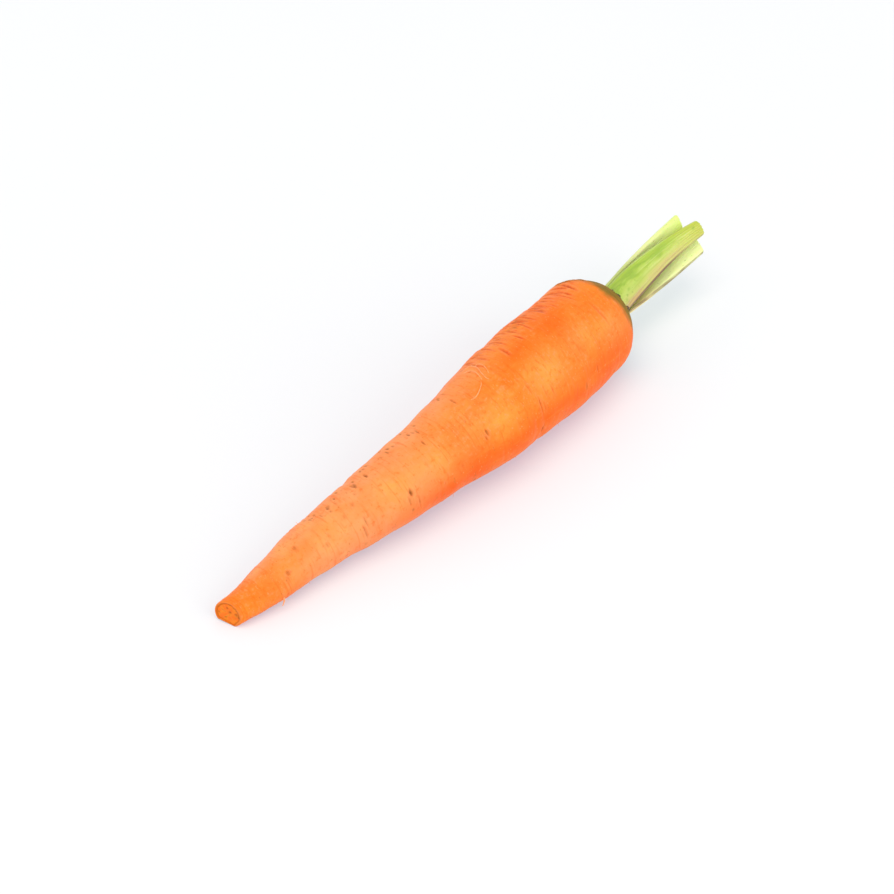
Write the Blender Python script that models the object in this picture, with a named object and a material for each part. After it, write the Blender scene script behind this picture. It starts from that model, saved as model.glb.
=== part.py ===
"""A fresh carrot lying on its side on a table: the fleshy root with its cut tip and its crown, the ring
of dry leaf bases round the crown, and the stumps of the cut leaf stalks. Each piece is one object.

Metres, +Z up. The table is z = 0, the root lies along X with its crown at +X, and the origin is under
the middle of the whole carrot.
"""

import math
import random

import bmesh
import bpy
from mathutils import Vector

MM = 0.001

# The root from its cut tip to the start of its shoulder. Each row is the distance from the cut tip along
# the table, the radius, and where the middle of the section lies: sideways, and above the table.
# Millimetres.
ROOT_STATIONS = [
    (0.0, 4.0, 2.0, 3.0),
    (5.0, 4.3, 1.0, 4.0),
    (15.0, 5.8, 0.0, 5.8),
    (26.0, 7.2, -0.3, 7.3),
    (37.0, 7.9, -1.0, 8.3),
    (47.0, 9.4, -2.4, 9.9),
    (58.0, 10.4, -3.6, 11.2),
    (69.0, 11.1, -4.1, 12.1),
    (80.0, 12.4, -4.6, 13.2),
    (92.0, 13.9, -5.1, 14.2),
    (104.0, 15.0, -4.2, 14.8),
    (117.0, 15.4, -3.5, 15.0),
    (130.0, 15.4, -2.7, 15.0),
    (142.0, 15.2, -1.6, 15.1),
    (160.0, 15.2, -0.6, 15.6),
]
# The shoulder rounds over to the crown like half a ball.
SHOULDER_AT = 142.0 * MM
SHOULDER_RADIUS = 15.2 * MM
CROWN_RADIUS = 6.7 * MM
CROWN_AT = SHOULDER_AT + math.sqrt(SHOULDER_RADIUS**2 - CROWN_RADIUS**2)

# Where the cut tip and the middle line lie in the frame of the whole carrot.
TIP_X = -98.4 * MM
MIDDLE_Y = 3.0 * MM

RING_SPACING = 1.6 * MM
RING_SIDES = 36
SHOULDER_RINGS = 10

# The tip is cut aslant, and one side of it is shaved flat.
TIP_CUT_SLANT_SIDE = 0.17
TIP_CUT_SLANT_UP = -0.23
TIP_CUT_REACH = 9.0 * MM
TIP_EDGE = 0.35 * MM
TIP_FLAT_TURN = math.radians(-84)
TIP_FLAT_SHARE = 0.75

# The root's section is never quite round. It is oval and faintly three-sided, by these shares of its
# radius, and both shapes twist along the root. It also swells and narrows in two waves, which swing
# round the root by these angles. All this dies out towards the cut tip and the crown.
OVAL_SHARE = 0.022
OVAL_TWIST = 31.0 * MM
LOBE_SHARE = 0.014
LOBE_TWIST = 23.0 * MM
LONG_WAVE = (0.13 * MM, 29.0 * MM, 0.6)
SHORT_WAVE = (0.09 * MM, 13.0 * MM, 1.3)
CALM_AT_TIP = 12.0 * MM
CALM_AT_CROWN = 9.0 * MM
# Points this close to the full radius are skin. The rest lie on the flat ends.
SKIN_SHARE = 0.9

# Creases run part of the way round the root, closer together towards the crown.
CREASE_SEED = 7
CREASE_COUNT = 34
CREASE_FIRST = 24.0 * MM
CREASE_LAST = 156.0 * MM
CREASE_DEPTH = (0.16 * MM, 0.42 * MM)
CREASE_WIDTH = (1.1 * MM, 1.7 * MM)
CREASE_HALF_ARC = (0.35, 1.0)
CREASE_SLANT = (-1.4 * MM, 1.4 * MM)
CREASE_CROWDING = 0.8

# Gap between pieces that touch.
GAP = 0.3 * MM

# The leaf stalks, cut off above the crown. Each row is the name, the direction of its foot from the
# crown's middle in degrees (0 is sideways to +Y, 90 is up), the foot's distance from that middle, half
# the arc that the foot clasps in degrees, the stalk's length, where its cut end lies off the line of the
# crown (sideways and up), how far its middle bows out (sideways and up), its width and thickness at the
# cut end, and the slant of the cut. Millimetres.
STALKS = [
    ("leaf_stalk_front", 127.0, 4.7, 73.0, 42.0, -2.9, 5.0, 1.1, 0.8, 4.9, 3.3, -0.16),
    ("leaf_stalk_left", 2.0, 4.7, 46.0, 40.0, 3.2, 5.5, 0.0, 0.0, 5.0, 3.0, 0.10),
    ("leaf_stalk_right", 258.0, 4.7, 46.0, 40.5, -3.9, 0.0, 0.0, 0.0, 6.0, 3.2, 0.35),
    ("leaf_stalk_inner", 40.0, 0.9, 70.0, 33.0, 0.0, 0.6, 0.0, 0.0, 3.1, 2.2, 0.05),
]
SHEATH_THICKNESS = 1.7 * MM
STALK_SIDES = 24
STALK_RINGS = 15
STALK_RIBS = 5
RIB_HEIGHT = 0.15 * MM
# Share of the thickness that the channel on the inner face takes.
CHANNEL_DEPTH = 0.28
# The section is a little squarer than an ellipse, the lower this power.
SECTION_POWER = 0.8
# The sheath narrows fastest near its foot, and is full thick at this share of the stalk's length.
NARROWING_POWER = 0.8
THICK_BY = 0.7
# A sheath clasps the crown's middle, and the stalk above it is bent across by this radius.
STALK_BEND_RADIUS = 18.0 * MM
# The slanted cut takes the last share of the stalk.
CUT_SHARE = 0.2

# The dry ring of old leaf bases round the feet of the stalks.
SCALE_RING_INNER = 5.95 * MM
SCALE_RING_OUTER = 6.65 * MM
SCALE_COUNT = 17
SCALE_SIDES = 102
SCALE_LOW = 0.6 * MM
SCALE_TALL = 2.2 * MM
SCALE_LEAST_SHARE = 0.35
SCALE_POWER = 0.7
SCALE_SEED = 3

ROOT_ORANGE = (0.86, 0.26, 0.035, 1.0)
STALK_GREEN = (0.42, 0.58, 0.12, 1.0)
SCALE_BROWN = (0.11, 0.06, 0.025, 1.0)


def clear_scene():
    for thing in list(bpy.data.objects):
        bpy.data.objects.remove(thing, do_unlink=True)


def new_collection(name):
    collection = bpy.data.collections.new(name)
    bpy.context.scene.collection.children.link(collection)
    return collection


def plain_material(name, colour, roughness):
    material = bpy.data.materials.new(name)
    material.use_nodes = True
    shader = material.node_tree.nodes["Principled BSDF"]
    shader.inputs["Base Color"].default_value = colour
    shader.inputs["Roughness"].default_value = roughness
    shader.inputs["Metallic"].default_value = 0.0
    return material


def smooth_value(x, points):
    """The height at x of a smooth curve through (x, height) points."""
    last = len(points) - 1
    if x <= points[0][0]:
        return points[0][1]
    if x >= points[last][0]:
        return points[last][1]
    i = max(k for k in range(last) if points[k][0] <= x)

    def slope(k):
        before, after = points[max(k - 1, 0)], points[min(k + 1, last)]
        return (after[1] - before[1]) / (after[0] - before[0])

    (x0, y0), (x1, y1) = points[i], points[i + 1]
    width = x1 - x0
    t = (x - x0) / width
    start = (2 * t**3 - 3 * t**2 + 1) * y0 + (t**3 - 2 * t**2 + t) * width * slope(i)
    end = (-2 * t**3 + 3 * t**2) * y1 + (t**3 - t**2) * width * slope(i + 1)
    return start + end


def eased(t):
    """0 to 1 with a soft start and end."""
    t = min(max(t, 0.0), 1.0)
    return t * t * (3 - 2 * t)


def mixed(a, b, share):
    return a + (b - a) * share


def station_column(column):
    return [(row[0] * MM, row[column] * MM) for row in ROOT_STATIONS]


RADIUS_POINTS = station_column(1)
SIDE_POINTS = station_column(2)
HEIGHT_POINTS = station_column(3)


def root_radius(x):
    if x > SHOULDER_AT:
        return math.sqrt(max(SHOULDER_RADIUS**2 - (x - SHOULDER_AT) ** 2, 0.0))
    return smooth_value(x, RADIUS_POINTS)


def root_middle(x):
    """The middle of the root's section, x from the cut tip."""
    side = smooth_value(x, SIDE_POINTS)
    height = smooth_value(x, HEIGHT_POINTS)
    return Vector((TIP_X + x, MIDDLE_Y + side, height))


def root_directions(x):
    """Along the root, sideways and up, square to each other, at x from the cut tip."""
    step = 2 * MM
    along = (root_middle(x + step) - root_middle(x - step)).normalized()
    side = Vector((0, 0, 1)).cross(along).normalized()
    return along, side, along.cross(side)


def crease_list():
    draw = random.Random(CREASE_SEED)
    creases = []
    for i in range(CREASE_COUNT):
        share = ((i + draw.random()) / CREASE_COUNT) ** CREASE_CROWDING
        creases.append(
            {
                "at": mixed(CREASE_FIRST, CREASE_LAST, share),
                "turn": draw.uniform(0, math.tau),
                "half_arc": draw.uniform(*CREASE_HALF_ARC),
                "depth": draw.uniform(*CREASE_DEPTH),
                "width": draw.uniform(*CREASE_WIDTH),
                "slant": draw.uniform(*CREASE_SLANT),
            }
        )
    return creases


CREASES = crease_list()


def crease_depth(x, turn):
    depth = 0.0
    for crease in CREASES:
        away = math.remainder(turn - crease["turn"], math.tau)
        if abs(away) > crease["half_arc"]:
            continue
        across = (x - crease["at"] - crease["slant"] * away) / crease["width"]
        if abs(across) > 3:
            continue
        fade = 1 - (away / crease["half_arc"]) ** 2
        depth += crease["depth"] * fade * math.exp(-across * across)
    return depth


def wave(x, swing, height_length_turn):
    height, length, turn = height_length_turn
    return height * math.sin(math.tau * x / length + turn * swing)


def root_bulge(x, turn, radius):
    """How far the skin stands out from a plain round section."""
    oval = OVAL_SHARE * radius * math.cos(2 * turn + x / OVAL_TWIST)
    lobe = LOBE_SHARE * radius * math.cos(3 * turn - x / LOBE_TWIST + 1)
    waves = wave(x, math.sin(turn), LONG_WAVE) + wave(x, math.cos(turn), SHORT_WAVE)
    calm = eased(x / CALM_AT_TIP) * eased((CROWN_AT - x) / CALM_AT_CROWN)
    return calm * (oval + lobe + waves - crease_depth(x, turn))


def root_profile():
    """(distance from the cut tip, radius) from the middle of the cut tip to the middle of the crown."""
    tip = root_radius(0)
    points = [(0.0, 0.0), (0.0, 0.5 * tip), (0.0, tip - TIP_EDGE)]
    rings = round(SHOULDER_AT / RING_SPACING)
    for i in range(1, rings + 1):
        x = SHOULDER_AT * i / rings
        points.append((x, root_radius(x)))
    crown_angle = math.acos(CROWN_RADIUS / SHOULDER_RADIUS)
    for i in range(1, SHOULDER_RINGS + 1):
        x = SHOULDER_AT + SHOULDER_RADIUS * math.sin(crown_angle * i / SHOULDER_RINGS)
        points.append((x, root_radius(x)))
    points += [(CROWN_AT, 0.5 * CROWN_RADIUS), (CROWN_AT, 0.0)]
    return points


def shaved_radius(x, turn, radius):
    """The radius near the cut tip, where one side is flat."""
    towards = math.cos(turn - TIP_FLAT_TURN)
    if towards <= 0:
        return radius
    share = mixed(TIP_FLAT_SHARE, 1.0, eased(x / TIP_CUT_REACH))
    return min(radius, share * root_radius(x) / towards)


def root_point(x, turn, radius):
    """A point of the root in the frame of the whole carrot."""
    along, side, up = root_directions(x)
    if radius > SKIN_SHARE * root_radius(x):
        radius += root_bulge(x, turn, radius)
    if x < TIP_CUT_REACH:
        radius = shaved_radius(x, turn, radius)
    sideways, upwards = radius * math.cos(turn), radius * math.sin(turn)
    near_tip = 1 - eased(x / TIP_CUT_REACH)
    slant = near_tip * (TIP_CUT_SLANT_SIDE * sideways + TIP_CUT_SLANT_UP * upwards)
    return root_middle(x) - along * slant + side * sideways + up * upwards


def spin_round(mesh, outline, sides):
    """Turns an outline once round the X axis."""
    bmesh.ops.spin(
        mesh,
        geom=outline,
        cent=(0, 0, 0),
        axis=(1, 0, 0),
        angle=math.tau,
        steps=sides,
        use_merge=True,
    )


def make_root(collection, material):
    """The root: its outline spun about its axis, then bent to its own middle line and creased. Where it
    rests it is pressed flat on the table."""
    mesh = bmesh.new()
    outline = [mesh.verts.new((x, r, 0)) for x, r in root_profile()]
    edges = [mesh.edges.new(pair) for pair in zip(outline, outline[1:])]
    spin_round(mesh, outline + edges, RING_SIDES)
    bmesh.ops.remove_doubles(mesh, verts=mesh.verts, dist=0.01 * MM)
    for vert in mesh.verts:
        x, radius = vert.co.x, math.hypot(vert.co.y, vert.co.z)
        turn = math.atan2(vert.co.z, vert.co.y)
        vert.co = root_point(x, turn, radius)
        vert.co.z = max(vert.co.z, 0.0)
    bmesh.ops.recalc_face_normals(mesh, faces=mesh.faces)
    return new_object("root", mesh, collection, material)


def new_object(name, mesh, collection, material):
    data = bpy.data.meshes.new(name)
    mesh.to_mesh(data)
    mesh.free()
    data.materials.append(material)
    data.shade_smooth()
    data.set_sharp_from_angle(angle=math.radians(40))
    piece = bpy.data.objects.new(name, data)
    collection.objects.link(piece)
    return piece


CROWN_ALONG, CROWN_SIDE, CROWN_UP = root_directions(CROWN_AT)


def crown_point(height, sideways, upwards):
    """A point by the crown, measured from the middle of its flat top."""
    return root_middle(CROWN_AT) + CROWN_ALONG * height + CROWN_SIDE * sideways + CROWN_UP * upwards


def loft(sections):
    """A closed mesh through loops of points, each loop as long as the first, with flat ends."""
    mesh = bmesh.new()
    loops = [[mesh.verts.new(point) for point in section] for section in sections]
    for low, high in zip(loops, loops[1:]):
        for i in range(len(low)):
            j = (i + 1) % len(low)
            mesh.faces.new((low[i], low[j], high[j], high[i]))
    mesh.faces.new(list(reversed(loops[0])))
    mesh.faces.new(loops[-1])
    bmesh.ops.recalc_face_normals(mesh, faces=mesh.faces)
    return mesh


def stalk_section(stalk, share):
    """The stalk's section at this share of its length: a thin clasping sheath at the foot, and a ribbed
    half round with a shallow channel on its inner face at the cut end."""
    _, direction, foot, half_arc, length, end_side, end_up, bow_side, bow_up, *end = stalk
    end_width, end_thick, slant = end
    turn = math.radians(direction)
    foot = foot * MM
    half_width = mixed(foot * math.radians(half_arc), end_width * MM / 2, share**NARROWING_POWER)
    thick = mixed(SHEATH_THICKNESS, end_thick * MM, eased(share / THICK_BY))
    bend_radius = mixed(foot, STALK_BEND_RADIUS, eased(share))
    bow = 4 * share * (1 - share) * MM
    cut = slant * eased((share - 1 + CUT_SHARE) / CUT_SHARE)
    middle_side = mixed(foot * math.cos(turn), end_side * MM, share) + bow * bow_side
    middle_up = mixed(foot * math.sin(turn), end_up * MM, share) + bow * bow_up
    points = []
    for i in range(STALK_SIDES):
        angle = math.tau * i / STALK_SIDES
        across = half_width * math.cos(angle)
        face = math.sin(angle)
        off = math.copysign(thick / 2 * abs(face) ** SECTION_POWER, face)
        if face > 0:
            off += RIB_HEIGHT * math.cos(STALK_RIBS * math.pi * math.cos(angle)) * face
        else:
            off += CHANNEL_DEPTH * thick * face * face
        about = across / bend_radius
        outwards = (bend_radius + off) * math.cos(about) - bend_radius
        sideways = (bend_radius + off) * math.sin(about)
        height = mixed(GAP, length * MM, share) + cut * sideways
        points.append(
            crown_point(
                height,
                middle_side + outwards * math.cos(turn) - sideways * math.sin(turn),
                middle_up + outwards * math.sin(turn) + sideways * math.cos(turn),
            )
        )
    return points


def make_stalk(stalk, collection, material):
    shares = [i / (STALK_RINGS - 1) for i in range(STALK_RINGS)]
    mesh = loft([stalk_section(stalk, share) for share in shares])
    return new_object(stalk[0], mesh, collection, material)


def make_scale_ring(collection, material):
    """The dry ring: one band round the stalks, torn along its top into the stubs of old leaf bases."""
    draw = random.Random(SCALE_SEED)
    shares = [draw.uniform(SCALE_LEAST_SHARE, 1.0) for _ in range(SCALE_COUNT)]
    thick = SCALE_RING_OUTER - SCALE_RING_INNER
    mesh = bmesh.new()
    rim = [
        (GAP, SCALE_RING_INNER),
        (GAP, SCALE_RING_OUTER),
        (SCALE_LOW, SCALE_RING_OUTER - thick / 8),
        (SCALE_TALL, SCALE_RING_OUTER - thick * 3 / 8),
        (SCALE_TALL, SCALE_RING_INNER + thick / 4),
    ]
    section = [mesh.verts.new((height, out, 0)) for height, out in rim]
    edges = [mesh.edges.new((section[i - 1], section[i])) for i in range(len(section))]
    spin_round(mesh, section + edges, SCALE_SIDES)
    for vert in mesh.verts:
        height, out = vert.co.x, math.hypot(vert.co.y, vert.co.z)
        turn = math.atan2(vert.co.z, vert.co.y)
        if height > SCALE_LOW + GAP:
            place = turn % math.tau / math.tau * SCALE_COUNT
            point = shares[int(place) % SCALE_COUNT] * abs(math.sin(math.pi * place)) ** SCALE_POWER
            height = mixed(SCALE_LOW, SCALE_TALL, point)
        vert.co = crown_point(height, out * math.cos(turn), out * math.sin(turn))
    bmesh.ops.recalc_face_normals(mesh, faces=mesh.faces)
    return new_object("crown_scales", mesh, collection, material)


def main():
    clear_scene()
    carrot = new_collection("carrot")
    orange = plain_material("carrot_skin", ROOT_ORANGE, 0.48)
    green = plain_material("stalk_skin", STALK_GREEN, 0.5)
    brown = plain_material("dry_scales", SCALE_BROWN, 0.85)
    make_root(carrot, orange)
    make_scale_ring(carrot, brown)
    for stalk in STALKS:
        make_stalk(stalk, carrot, green)


main()
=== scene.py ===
"""A fresh carrot lying on a white table: the fleshy root, the dry ring at its crown, the stumps of its cut
leaf stalks, and the fine rootlets on its skin, in the order in which they are put together here.

Metres, +Z up. The table is z = 0, and the root lies along X with its crown at +X.
"""

import collections
import functools
import random
from math import acos, atan2, copysign, cos, exp, hypot, pi, radians, remainder, sin, sqrt, tau

import bmesh
import bpy
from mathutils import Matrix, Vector, noise


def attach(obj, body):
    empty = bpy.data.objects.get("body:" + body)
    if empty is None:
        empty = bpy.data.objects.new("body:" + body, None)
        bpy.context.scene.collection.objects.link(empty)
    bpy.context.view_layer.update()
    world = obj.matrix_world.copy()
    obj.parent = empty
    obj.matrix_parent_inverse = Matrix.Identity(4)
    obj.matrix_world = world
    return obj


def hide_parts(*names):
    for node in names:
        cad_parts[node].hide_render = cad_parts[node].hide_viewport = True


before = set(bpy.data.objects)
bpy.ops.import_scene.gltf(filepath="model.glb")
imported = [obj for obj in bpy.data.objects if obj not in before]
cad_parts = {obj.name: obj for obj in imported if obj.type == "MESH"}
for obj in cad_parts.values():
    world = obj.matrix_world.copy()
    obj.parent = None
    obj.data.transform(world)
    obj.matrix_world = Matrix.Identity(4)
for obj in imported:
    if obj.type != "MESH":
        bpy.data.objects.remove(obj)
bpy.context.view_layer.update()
scene = bpy.context.scene

MM = 0.001


# ---- The camera ----
# It stands off the cut tip, on the side that the photograph shows, with a long lens. It looks down more
# steeply than the photograph, because there the carrot lies at a slant and here it lies flat.

PICTURE_PIXELS = 894
FOCAL_PIXELS = 2450
SENSOR_WIDTH = 36.0
CAMERA_AZIMUTH = radians(-48.13)
CAMERA_ELEVATION = radians(42.0)
CAMERA_DISTANCE = 0.7
CAMERA_AIM = Vector((-0.00733, 0.00819, 0.0))
CAMERA_NEAR, CAMERA_FAR = 0.01, 50.0


def direction_from(azimuth, elevation):
    """The way from the object towards a camera or a light."""
    level = cos(elevation)
    return Vector((sin(azimuth) * level, -cos(azimuth) * level, sin(elevation)))


def look_back(thing, place, aim):
    """Stands a camera or a light at a place and turns it to the aim."""
    thing.location = place
    thing.rotation_mode = "QUATERNION"
    thing.rotation_quaternion = (place - aim).to_track_quat("Z", "Y")
    scene.collection.objects.link(thing)


lens = bpy.data.cameras.new("camera")
lens.sensor_width = SENSOR_WIDTH
lens.lens = SENSOR_WIDTH * FOCAL_PIXELS / PICTURE_PIXELS
lens.clip_start, lens.clip_end = CAMERA_NEAR, CAMERA_FAR
camera = bpy.data.objects.new("camera", lens)
towards_camera = direction_from(CAMERA_AZIMUTH, CAMERA_ELEVATION)
look_back(camera, CAMERA_AIM + towards_camera * CAMERA_DISTANCE, CAMERA_AIM)
scene.camera = camera


# ---- The root ----
# One fleshy taproot, cut across at its tip. It grew round a bent middle line, and its thin skin has
# creases, folds at the shoulder, and scars where side roots broke off. The cut shows the darker core.

# Distance from the cut tip, radius, and the middle of the section sideways and above the table, in mm.
ROOT_STATIONS = [
    (0.0, 4.0, 2.0, 3.0),
    (5.0, 4.3, 1.0, 4.0),
    (15.0, 5.8, 0.0, 5.8),
    (26.0, 7.2, -0.3, 7.3),
    (37.0, 7.9, -1.0, 8.3),
    (47.0, 9.4, -2.4, 9.9),
    (58.0, 10.4, -3.6, 11.2),
    (69.0, 11.1, -4.1, 12.1),
    (80.0, 12.4, -4.6, 13.2),
    (92.0, 13.9, -5.1, 14.2),
    (104.0, 15.0, -4.2, 14.8),
    (117.0, 15.4, -3.5, 15.0),
    (130.0, 15.4, -2.7, 15.0),
    (142.0, 15.2, -1.6, 15.1),
    (160.0, 15.2, -0.6, 15.6),
]
SHOULDER_AT = 142.0 * MM
SHOULDER_RADIUS = 15.2 * MM
CROWN_RADIUS = 6.7 * MM
CROWN_AT = SHOULDER_AT + sqrt(SHOULDER_RADIUS**2 - CROWN_RADIUS**2)
TIP_X = -98.4 * MM
MIDDLE_Y = 3.0 * MM

RING_SPACING = 0.30 * MM
RING_SIDES = 176
CUT_FACE_RINGS = 13
EDGE_RINGS = 4
CROWN_RINGS = 8

# The slanted cut at the tip, and the side that is shaved flat.
TIP_CUT_SLANT_SIDE = 0.17
TIP_CUT_SLANT_UP = -0.23
TIP_CUT_LEAN = 0.17
TIP_CUT_REACH = 9.0 * MM
TIP_EDGE = 0.35 * MM
TIP_FLAT_TURN = radians(-84)
TIP_FLAT_SHARE = 0.75

# The section's oval and three-sided shares, how they twist, and the slow swells along the root.
OVAL_SHARE, OVAL_TWIST = 0.022, 31.0 * MM
LOBE_SHARE, LOBE_TWIST = 0.014, 23.0 * MM
LONG_WAVE = (0.13 * MM, 29.0 * MM, 0.6)
SHORT_WAVE = (0.09 * MM, 13.0 * MM, 1.3)
CALM_AT_TIP = 12.0 * MM
CALM_AT_CROWN = 9.0 * MM
SKIN_SHARE = 0.9
# Lumps as (height, size) and the ripple across the root, in mm.
LUMPS = ((0.10, 6.0), (0.05, 2.3))
RIPPLE_HEIGHT, RIPPLE_LENGTH, RIPPLE_WIDTH = 0.05, 0.9, 6

# The face of the cut, in mm and in shares of its radius: the core is sunk, and a seam runs round it.
CORE_DEPTH, CORE_EDGE, CORE_SLOPE = 0.22, 0.74, 0.14
SEAM_DEPTH, SEAM_AT, SEAM_WIDTH = 0.12, 0.82, 0.05
FACE_ROUGHNESS, FACE_GRAIN, FACE_EDGE = 0.16, 4.2, 0.12
CUT_MARK_END = 0.3 * TIP_EDGE

# Scars of side roots: distance from the tip (mm), direction round the root (degrees), half length across
# the root (mm), half width (mm), depth (mm) and how brown, 0 to 1.
SCARS = [
    (103.9, -166, 1.4, 0.85, 0.45, 1.00),
    (86.0, 142, 1.3, 0.46, 0.34, 0.95),
    (85.2, 147, 1.0, 0.36, 0.26, 0.70),
    (58.0, 147, 1.25, 0.62, 0.36, 1.00),
    (56.9, 157, 1.9, 0.34, 0.26, 0.55),
    (57.2, 176, 0.8, 0.45, 0.20, 0.65),
    (44.2, 146, 1.9, 0.36, 0.22, 0.60),
    (43.0, 162, 2.6, 0.36, 0.24, 0.50),
    (69.9, 100, 1.4, 0.36, 0.18, 0.75),
    (18.0, 136, 1.0, 0.60, 0.35, 0.62),
    (17.2, 146, 0.7, 0.45, 0.15, 0.28),
    (16.8, 158, 2.4, 0.34, 0.20, 0.25),
    (23.8, 103, 1.3, 0.80, 0.10, 0.40),
    (31.0, 140, 0.9, 0.60, 0.12, 0.45),
    (33.0, 128, 0.8, 0.50, 0.10, 0.35),
    (43.9, 108, 0.9, 0.50, 0.12, 0.45),
    (40.2, 117, 0.8, 0.50, 0.12, 0.40),
    (38.2, 128, 1.2, 0.40, 0.10, 0.30),
    (129.2, 171, 1.6, 0.40, 0.18, 0.55),
    (123.3, 179, 1.9, 0.40, 0.18, 0.60),
    (138.0, -160, 1.4, 0.45, 0.16, 0.45),
    (59.6, 169, 3.2, 0.32, 0.22, 0.35),
    (103.0, 133, 2.4, 0.36, 0.18, 0.30),
    (104.3, 158, 3.6, 0.40, 0.28, 0.48),
    (105.6, 163, 2.4, 0.34, 0.16, 0.30),
    (107.4, 148, 2.4, 0.34, 0.14, 0.22),
    (79.0, 118, 1.6, 0.34, 0.10, 0.25),
    (66.0, 128, 1.3, 0.38, 0.10, 0.30),
    (75.4, 161, 1.0, 0.50, 0.08, 0.30),
    (68.4, 169, 1.0, 0.50, 0.08, 0.30),
]
# Rows of short dashes, as (distance, direction) of the middle of each group.
DASH_GROUPS = [
    (84, 63), (72, 60), (62, 67), (54, 66), (47, 68),
    (40, 72), (33.7, 62), (26, 20), (97, 70), (118, 64),
]
DASH_SEED = 5
DASHES_IN_GROUP = (5, 8)
DASH_SPREAD_ALONG, DASH_SPREAD_ROUND = 1.7, 8
# Ranges of half length, half width, depth (mm) and how brown.
DASH_SIZES = ((0.4, 1.4), (0.26, 0.44), (0.08, 0.2), (0.35, 1.0))
# Side roots grow in four rows down the root. The scars of the row on the seen side are listed above, and
# those of the other three are drawn at random, at these directions.
SCAR_ROWS = (-125, -40, 15)
ROW_SCAR_SEED = 11
ROW_SCAR_FIRST, ROW_SCAR_LAST, ROW_SCAR_LIMIT = 12.0, 146, 149
ROW_SCAR_SPACING = 7.5
ROW_SCAR_UNEVEN = (0.4, 1.6)
ROW_SCAR_SPREAD = 9
ROW_SCAR_SIZES = ((0.7, 2.4), (0.28, 0.5), (0.08, 0.3), (0.3, 0.9))

# Brown dots on the face of the cut: how far out (share of the radius), direction (degrees), radius (mm).
CUT_DOTS = [
    (0.66, -5, 0.32), (0.24, 125, 0.42), (0.62, 165, 0.5),
    (0.80, 178, 0.4), (0.5, 80, 0.3), (0.42, -60, 0.3),
]
CUT_DOT_STRENGTH = 0.75

# The creases that the CAD root has too, with its numbers.
CREASE_SEED, CREASE_COUNT, CREASE_CROWDING = 7, 34, 0.8
CREASE_REACH = (24 * MM, 156 * MM)
CREASE_HALF_ARC = (0.35, 1.0)
CREASE_DEPTH = (0.16 * MM, 0.42 * MM)
CREASE_WIDTH = (1.1 * MM, 1.7 * MM)
CREASE_SLANT = 1.4 * MM

# The hair-thin creases. Depth, width and slant are in mm.
FINE_SEED, FINE_COUNT, FINE_CROWDING = 9, 210, 0.75
FINE_REACH = (6 * MM, 153 * MM)
FINE_HALF_ARC = (0.12, 0.5)
FINE_DEPTH, FINE_WIDTH, FINE_SLANT = (0.03, 0.1), (0.4, 0.6), 1

# The folds at the shoulder crowd on the upper side. Every fifth one is a shallower one that lies anywhere.
FOLD_SEED, FOLD_COUNT, FOLD_STRAY = 4, 84, 5
FOLD_REACH = (98 * MM, 148 * MM)
FOLD_TURN, FOLD_SPREAD = 62, 9
FOLD_HALF_ARC = (0.08, 0.42)
FOLD_DEPTH, FOLD_WIDTH, FOLD_SLANT = (0.10, 0.40), (0.26, 0.50), (-2.6, 0.8)

# How a groove is drawn, in shares of its width and depth, and the depths at which the painted fold shade and
# lip highlight show fully.
GROOVE_END = 3
SCAR_END_WIDTH = 0.45
LIP_HEIGHT, LIP_AT, LIP_SHARPNESS = 0.45, 1.5, 2.5
FULL_FOLD, FULL_LIP = 0.32 * MM, 0.2 * MM


def mixed(a, b, share):
    return a + (b - a) * share


def eased(t):
    """0 to 1 with a soft start and end."""
    t = min(max(t, 0.0), 1.0)
    return t * t * (3 - 2 * t)


def smooth_value(x, points):
    """The height at x of a smooth curve through (x, height) points."""
    last = len(points) - 1
    if x <= points[0][0]:
        return points[0][1]
    if x >= points[last][0]:
        return points[last][1]
    i = max(k for k in range(last) if points[k][0] <= x)

    def slope(k):
        before, after = points[max(k - 1, 0)], points[min(k + 1, last)]
        return (after[1] - before[1]) / (after[0] - before[0])

    (x0, y0), (x1, y1) = points[i], points[i + 1]
    width = x1 - x0
    t = (x - x0) / width
    start = (2 * t**3 - 3 * t**2 + 1) * y0 + (t**3 - 2 * t**2 + t) * width * slope(i)
    end = (-2 * t**3 + 3 * t**2) * y1 + (t**3 - t**2) * width * slope(i + 1)
    return start + end


RADIUS_POINTS, SIDE_POINTS, HEIGHT_POINTS = (
    [(row[0] * MM, row[column] * MM) for row in ROOT_STATIONS] for column in (1, 2, 3)
)


@functools.lru_cache(maxsize=None)
def root_radius(x):
    if x > SHOULDER_AT:
        return sqrt(max(SHOULDER_RADIUS**2 - (x - SHOULDER_AT) ** 2, 0.0))
    return smooth_value(x, RADIUS_POINTS)


@functools.lru_cache(maxsize=None)
def root_middle(x):
    """The middle of the root's section, x from the cut tip."""
    return Vector((TIP_X + x, MIDDLE_Y + smooth_value(x, SIDE_POINTS), smooth_value(x, HEIGHT_POINTS)))


@functools.lru_cache(maxsize=None)
def root_directions(x):
    """Along the root, sideways and up, square to each other."""
    along = (root_middle(x + 2 * MM) - root_middle(x - 2 * MM)).normalized()
    side = Vector((0, 0, 1)).cross(along).normalized()
    return along, side, along.cross(side)


groove = collections.namedtuple(
    "groove", "at turn half_arc depth width slant kind brown", defaults=(0.0, "crease", 0.0)
)


def main_creases():
    """The creases that the CAD root has too."""
    draw = random.Random(CREASE_SEED)
    made = []
    for i in range(CREASE_COUNT):
        at = mixed(*CREASE_REACH, ((i + draw.random()) / CREASE_COUNT) ** CREASE_CROWDING)
        turn, half_arc = draw.uniform(0, tau), draw.uniform(*CREASE_HALF_ARC)
        depth, width = draw.uniform(*CREASE_DEPTH), draw.uniform(*CREASE_WIDTH)
        made.append(groove(at, turn, half_arc, depth, width, draw.uniform(-CREASE_SLANT, CREASE_SLANT)))
    return made


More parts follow.
